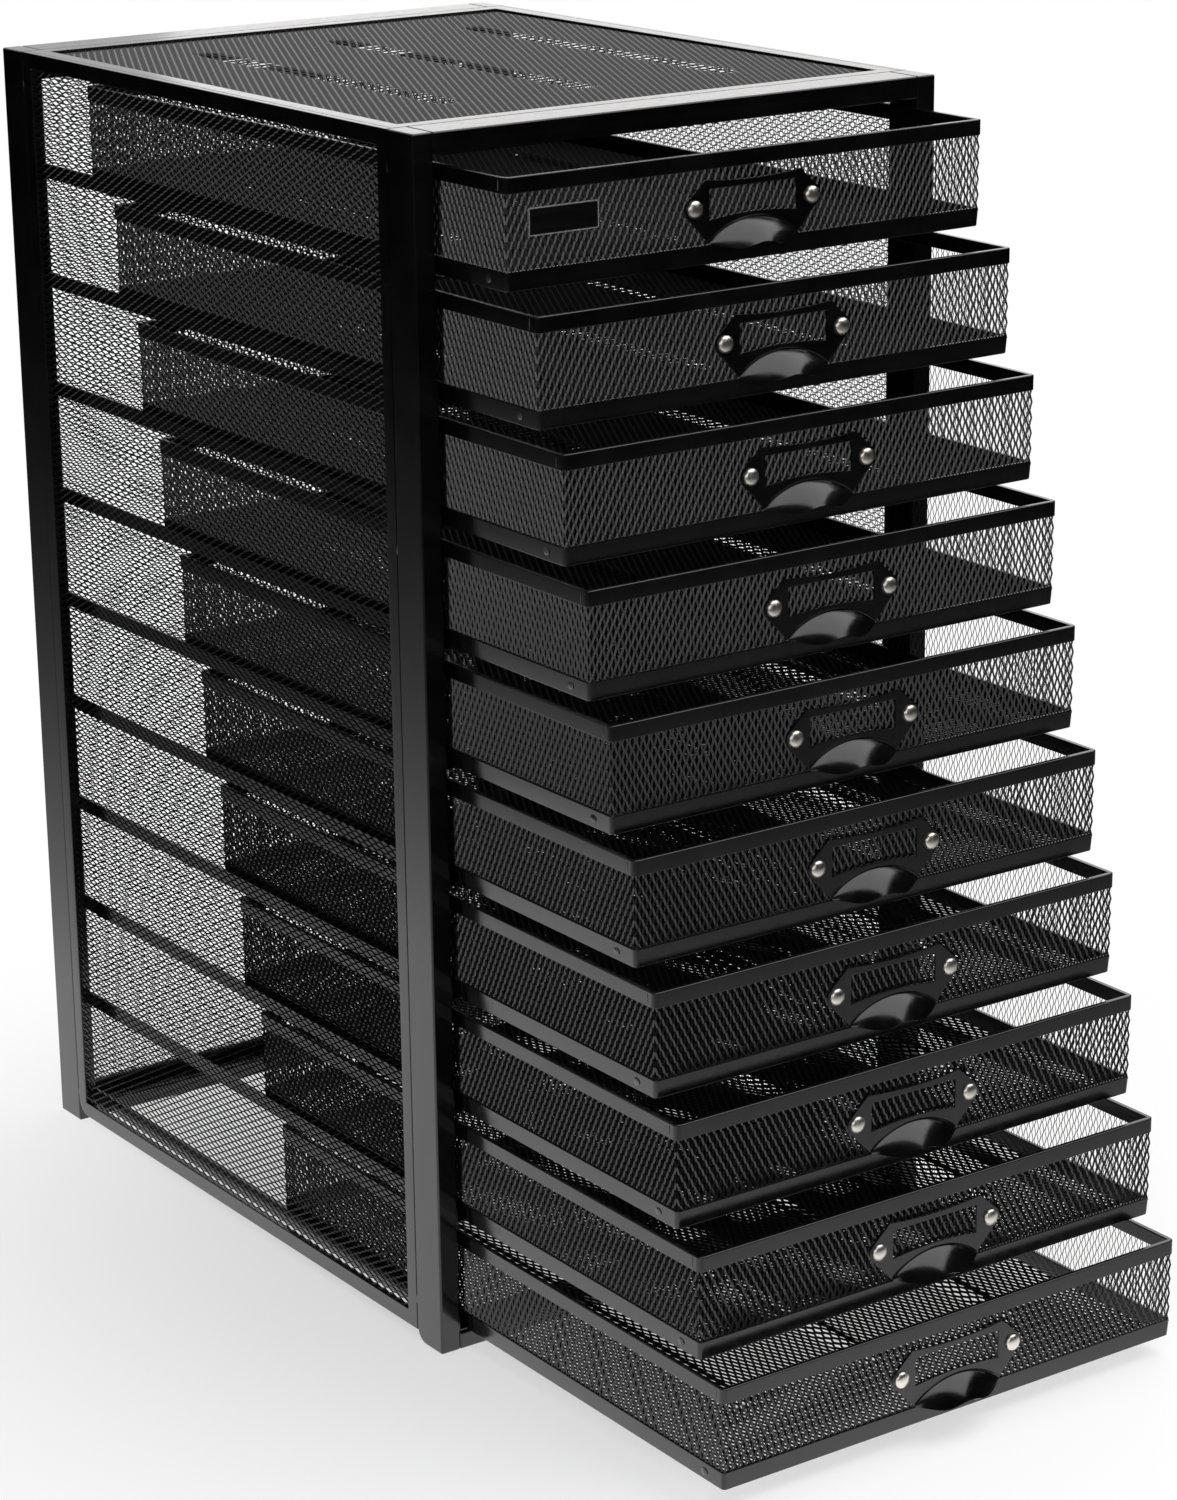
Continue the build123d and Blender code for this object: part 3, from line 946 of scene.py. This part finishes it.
class CABINET_OT_bare_plate(Operator):
    """Small plate on the top drawer's front, left bare"""

    bl_idname = "cabinet.bare_plate"
    bl_label = "Bare Plate"

    def execute(self, context):
        pull = context.scene.cabinet_pull
        left, top = -pull.plate_edge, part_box(DRAWERS[0] + "_rim")[1].z - pull.plate_top
        front_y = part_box(DRAWERS[0] + "_basket")[0].y
        proud, sunk = 0.0007, 0.0002
        bm = bmesh.new()
        block(
            bm, (left, front_y - proud, top - pull.plate_height),
            (left + pull.plate_width, front_y + sunk, top),
        )
        corners = [e for e in bm.edges if abs(e.verts[0].co.y - e.verts[1].co.y) > proud / 2]
        round_edges(bm, corners, pull.plate_corner, 4)
        front = min(bm.faces, key=lambda face: face.calc_center_median().y)
        bmesh.ops.inset_region(
            bm, faces=[front], thickness=pull.plate_rim, depth=-0.0001, use_even_offset=True,
        )
        # the rim and sides take the light grey edge finish, a painted highlight
        for face in bm.faces:
            face.material_index = 0 if face == front else 1
        mesh = as_mesh(bm, "bare_plate")
        mesh.materials.append(satin_plate())
        mesh.materials.append(plate_edge())
        mesh_piece("drawer_01_bare_plate", mesh, satin_plate(), DRAWERS[0])
        return {"FINISHED"}


def bead(bm, place, along, across, size):
    """A weld bead: a small rounded, rippled mound at a place."""
    mound = bmesh.ops.create_uvsphere(bm, u_segments=10, v_segments=8, radius=0.5)["verts"]
    for vert in mound:
        vert.co.y *= 1.0 + 0.08 * sin(9.0 * pi * vert.co.x)
    turned = plane_matrix(place, along, across) @ Matrix.Diagonal((*size, 1.0))
    bmesh.ops.transform(bm, matrix=turned, verts=mound)


class CABINET_OT_weld_beads(Operator):
    """Weld beads in the seams of the cabinet, and the marks on the drawers"""

    bl_idname = "cabinet.weld_beads"
    bl_label = "Weld Beads"

    def execute(self, context):
        trim = context.scene.cabinet_trim
        size = (trim.bead_length, trim.bead_width, trim.bead_depth)
        front_y, back_y = (corner.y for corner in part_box("left_panel_border"))
        border_x, top_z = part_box("top_panel")[1].x, CAD_BOX[1].z - SUNK
        bm = bmesh.new()
        for side in (-1, 1):
            x = side * (CAD_BOX[1].x - SUNK)
            for y, heights in ((front_y, (0.020, 0.368, 0.530)), (back_y, (0.016, 0.531))):
                for z in heights:
                    bead(bm, (x, y, z), UP, (0, 1, 0), size)
            for y in (0.029, 0.168, 0.314):
                bead(bm, (side * border_x, y, top_z), (0, 1, 0), (1, 0, 0), size)
        for x in (-0.119, 0.006, 0.120):
            for y in (front_y, back_y):
                bead(bm, (x, y, top_z), (1, 0, 0), (0, 1, 0), size)
        outward(bm)
        # the beads take the weld finish, whose lighter patches are a painted highlight
        new_piece("cabinet_weld_beads", bm, weld_coat(), "cabinet")

        rim_low, rim_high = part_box(DRAWERS[0] + "_rim")
        base_low, base_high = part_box(DRAWERS[0] + "_base")
        seam = (rim_low.x, rim_low.y + 0.0048, (rim_low.z + rim_high.z) / 2)
        seam_size = (rim_high.z - rim_low.z - 0.0018, 0.0007, 0.0005)
        spot = (base_low.x, base_low.y + 0.013, (base_low.z + base_high.z) / 2)
        spot_size = (trim.dimple, 0.85 * trim.dimple, 0.0008)
        bm = bmesh.new()
        bead(bm, seam, UP, (0, 1, 0), seam_size)
        bead(bm, spot, (0, 1, 0), UP, spot_size)
        outward(bm)
        marks = as_mesh(bm, "marks")
        # the seam and spot marks take the weld finish, whose lighter patches are a painted
        # highlight
        copies("seam_marks", marks, weld_coat(), "rim", stands=False)
        return {"FINISHED"}


# ---------------------------------------------------------------- stage

def ray_kinds(nodes, links):
    """1 for camera rays, and 1 for glossy and transmission rays."""
    path = nodes.new("ShaderNodeLightPath")
    either = nodes.new("ShaderNodeMath")
    either.operation = "MAXIMUM"
    links.new(path.outputs["Is Glossy Ray"], either.inputs[0])
    links.new(path.outputs["Is Transmission Ray"], either.inputs[1])
    return path.outputs["Is Camera Ray"], either.outputs[0]


def mixed(nodes, links, part, first, second):
    """Shader that goes from the first to the second as the part goes from 0 to 1."""
    node = nodes.new("ShaderNodeMixShader")
    for socket, source in zip(node.inputs, (part, first, second)):
        links.new(source, socket)
    return node.outputs[0]


def measure(nodes, links, kind, source, point=(0.0, 0.0, 0.0)):
    """Number that a Vector Math node gives for the source and a point."""
    node = nodes.new("ShaderNodeVectorMath")
    node.operation = kind
    node.inputs[1].default_value = point
    links.new(source, node.inputs[0])
    return node.outputs["Value"]


def floor_material(studio):
    """Pale floor, lit by the lamps near the cabinet and white further out.

    In gloss it shows a painted pool of light: a glow that fades with distance from a point beside
    the cabinet.
    """
    material = bpy.data.materials.new("studio_floor")
    material.use_nodes = True
    nodes, links = material.node_tree.nodes, material.node_tree.links
    nodes.clear()
    seen, gloss = ray_kinds(nodes, links)
    place = nodes.new("ShaderNodeTexCoord").outputs["Object"]
    near = nodes.new("ShaderNodeBsdfDiffuse")
    near.inputs["Color"].default_value = (*studio.floor, 1)
    white = nodes.new("ShaderNodeEmission")
    away = measure(nodes, links, "LENGTH", place)
    fade = spread(nodes, links, away, 0.55, 1.0, 0.15, 0.6, smooth=True)
    shown = mixed(nodes, links, fade, near.outputs[0], white.outputs[0])
    # painted pool of light: glow for glossy rays, strongest near this point and fading with
    # distance
    painted_pool_glow = measure(nodes, links, "DISTANCE", place, (-0.2, 0.12, 0.0))
    steps = (("POWER", 0, 0.082), ("MULTIPLY", 1, 3.6), ("MINIMUM", 1, 1.35))
    for operation, slot, number in steps:
        node = nodes.new("ShaderNodeMath")
        node.operation = operation
        node.inputs[slot].default_value = number
        links.new(painted_pool_glow, node.inputs[1 - slot])
        painted_pool_glow = node.outputs[0]
    mirrored = nodes.new("ShaderNodeEmission")
    links.new(painted_pool_glow, mirrored.inputs["Strength"])
    direct = mixed(nodes, links, seen, near.outputs[0], shown)
    output = nodes.new("ShaderNodeOutputMaterial")
    whole = mixed(nodes, links, gloss, direct, mirrored.outputs[0])
    links.new(whole, output.inputs["Surface"])
    return material


def room(studio):
    """World: even light from the room, white to the camera, and a light wall in gloss."""
    world = bpy.data.worlds.new("studio_room")
    world.use_nodes = True
    nodes, links = world.node_tree.nodes, world.node_tree.links
    seen, gloss = ray_kinds(nodes, links)
    light = nodes["Background"]
    light.inputs["Color"].default_value = (1, 1, 1, 1)
    light.inputs["Strength"].default_value = studio.sky_level
    white = nodes.new("ShaderNodeBackground")
    white.inputs["Color"].default_value = (1, 1, 1, 1)
    mirrored = nodes.new("ShaderNodeBackground")
    direction = nodes.new("ShaderNodeTexCoord").outputs["Generated"]
    behind = measure(nodes, links, "DOT_PRODUCT", direction, (0.3, 0.74, 0.6))
    wall = spread(nodes, links, behind, 0.0, 1.2, 0.6, 0.95, smooth=True)
    links.new(wall, mirrored.inputs["Strength"])
    direct = mixed(nodes, links, seen, light.outputs[0], white.outputs[0])
    whole = mixed(nodes, links, gloss, direct, mirrored.outputs[0])
    links.new(whole, nodes["World Output"].inputs["Surface"])
    return world


def lamp(name, place, target, width, height, power, tint=(1.0, 1.0, 1.0)):
    """A soft rectangular lamp aimed at a point."""
    data = bpy.data.lights.new(name, "AREA")
    data.shape = "RECTANGLE"
    data.size, data.size_y = width, height
    data.energy = power
    data.color = tint
    light = bpy.data.objects.new(name, data)
    bpy.context.scene.collection.objects.link(light)
    light.location = place
    aim = Vector(target) - Vector(place)
    light.rotation_euler = aim.to_track_quat("-Z", "Y").to_euler()
    light.visible_camera = False


class CABINET_OT_stage(Operator):
    """Pale floor, soft studio lamps and the camera"""

    bl_idname = "cabinet.stage"
    bl_label = "Studio"

    def execute(self, context):
        scene, studio = context.scene, context.scene.cabinet_studio
        bm = bmesh.new()
        bmesh.ops.create_grid(bm, x_segments=1, y_segments=1, size=studio.reach)
        floor = bpy.data.objects.new("studio_floor", as_mesh(bm, "studio_floor"))
        floor.data.materials.append(floor_material(studio))
        scene.collection.objects.link(floor)

        scene.world = room(studio)
        middle = (0.0, 0.0, 0.6)
        lamp(
            "overhead_lamp", (1.25, -0.85, 2.4), (1.1, -0.75, 0.0), 3.2, 3.2,
            studio.overhead_power,
        )
        lamp(
            "back_lamp", (1.92, 2.03, 1.25), (0.0, 0.0, 0.5), 1.9, 1.5, studio.back_power,
            (1.0, 0.97, 0.94),
        )
        lamp("left_lamp", (-2.4, -0.75, 0.9), middle, 1.4, 0.8, studio.left_power)
        lamp("front_lamp", (-1.45, -2.0, 1.25), middle, 1.2, 1.5, studio.front_power)

        data = bpy.data.cameras.new("camera")
        data.sensor_width = 36.0
        data.lens = studio.lens
        data.shift_x, data.shift_y = CAMERA_SHIFT
        data.clip_end = 200.0
        camera = bpy.data.objects.new("camera", data)
        scene.collection.objects.link(camera)
        right, ahead = Vector(CAMERA_RIGHT).normalized(), Vector(CAMERA_AHEAD).normalized()
        up = right.cross(ahead).normalized()
        turned = Matrix((right, up, -ahead)).transposed().to_4x4()
        camera.matrix_world = Matrix.Translation(CAMERA_PLACE) @ turned
        scene.camera = camera
        scene.view_settings.view_transform = "Standard"
        return {"FINISHED"}


OPERATORS = (
    CABINET_OT_frames, CABINET_OT_side_panels, CABINET_OT_top_panel, CABINET_OT_back_panel,
    CABINET_OT_runners, CABINET_OT_baskets, CABINET_OT_rims, CABINET_OT_bases, CABINET_OT_pulls,
    CABINET_OT_rivets, CABINET_OT_bare_plate, CABINET_OT_weld_beads, CABINET_OT_stage,
)


class CABINET_PT_pieces(Panel):
    """Lists the cabinet's pieces"""

    bl_idname = "CABINET_PT_pieces"
    bl_label = "Drawer Cabinet"
    bl_space_type = "VIEW_3D"
    bl_region_type = "UI"
    bl_category = "Drawer Cabinet"

    def draw(self, context):
        for operator in OPERATORS:
            self.layout.operator(operator.bl_idname)


SETTINGS = {
    "cabinet_mesh": CabinetMesh,
    "cabinet_trim": CabinetTrim,
    "cabinet_pull": CabinetPull,
    "cabinet_finish": CabinetFinish,
    "cabinet_studio": CabinetStudio,
}


def register():
    """Adds the settings, operators and panel."""
    for name, group in SETTINGS.items():
        bpy.utils.register_class(group)
        setattr(bpy.types.Scene, name, PointerProperty(type=group))
    for operator in OPERATORS:
        bpy.utils.register_class(operator)
    bpy.utils.register_class(CABINET_PT_pieces)


def unregister():
    """Removes what register added."""
    bpy.utils.unregister_class(CABINET_PT_pieces)
    for operator in reversed(OPERATORS):
        bpy.utils.unregister_class(operator)
    for name, group in reversed(SETTINGS.items()):
        delattr(bpy.types.Scene, name)
        bpy.utils.unregister_class(group)


def main():
    """Builds every piece."""
    register()
    bpy.ops.cabinet.frames()
    bpy.ops.cabinet.side_panels()
    bpy.ops.cabinet.top_panel()
    bpy.ops.cabinet.back_panel()
    bpy.ops.cabinet.runners()
    bpy.ops.cabinet.baskets()
    bpy.ops.cabinet.rims()
    bpy.ops.cabinet.bases()
    bpy.ops.cabinet.pulls()
    bpy.ops.cabinet.rivets()
    bpy.ops.cabinet.bare_plate()
    bpy.ops.cabinet.weld_beads()
    bpy.ops.cabinet.stage()


if __name__ == "__main__":
    main()
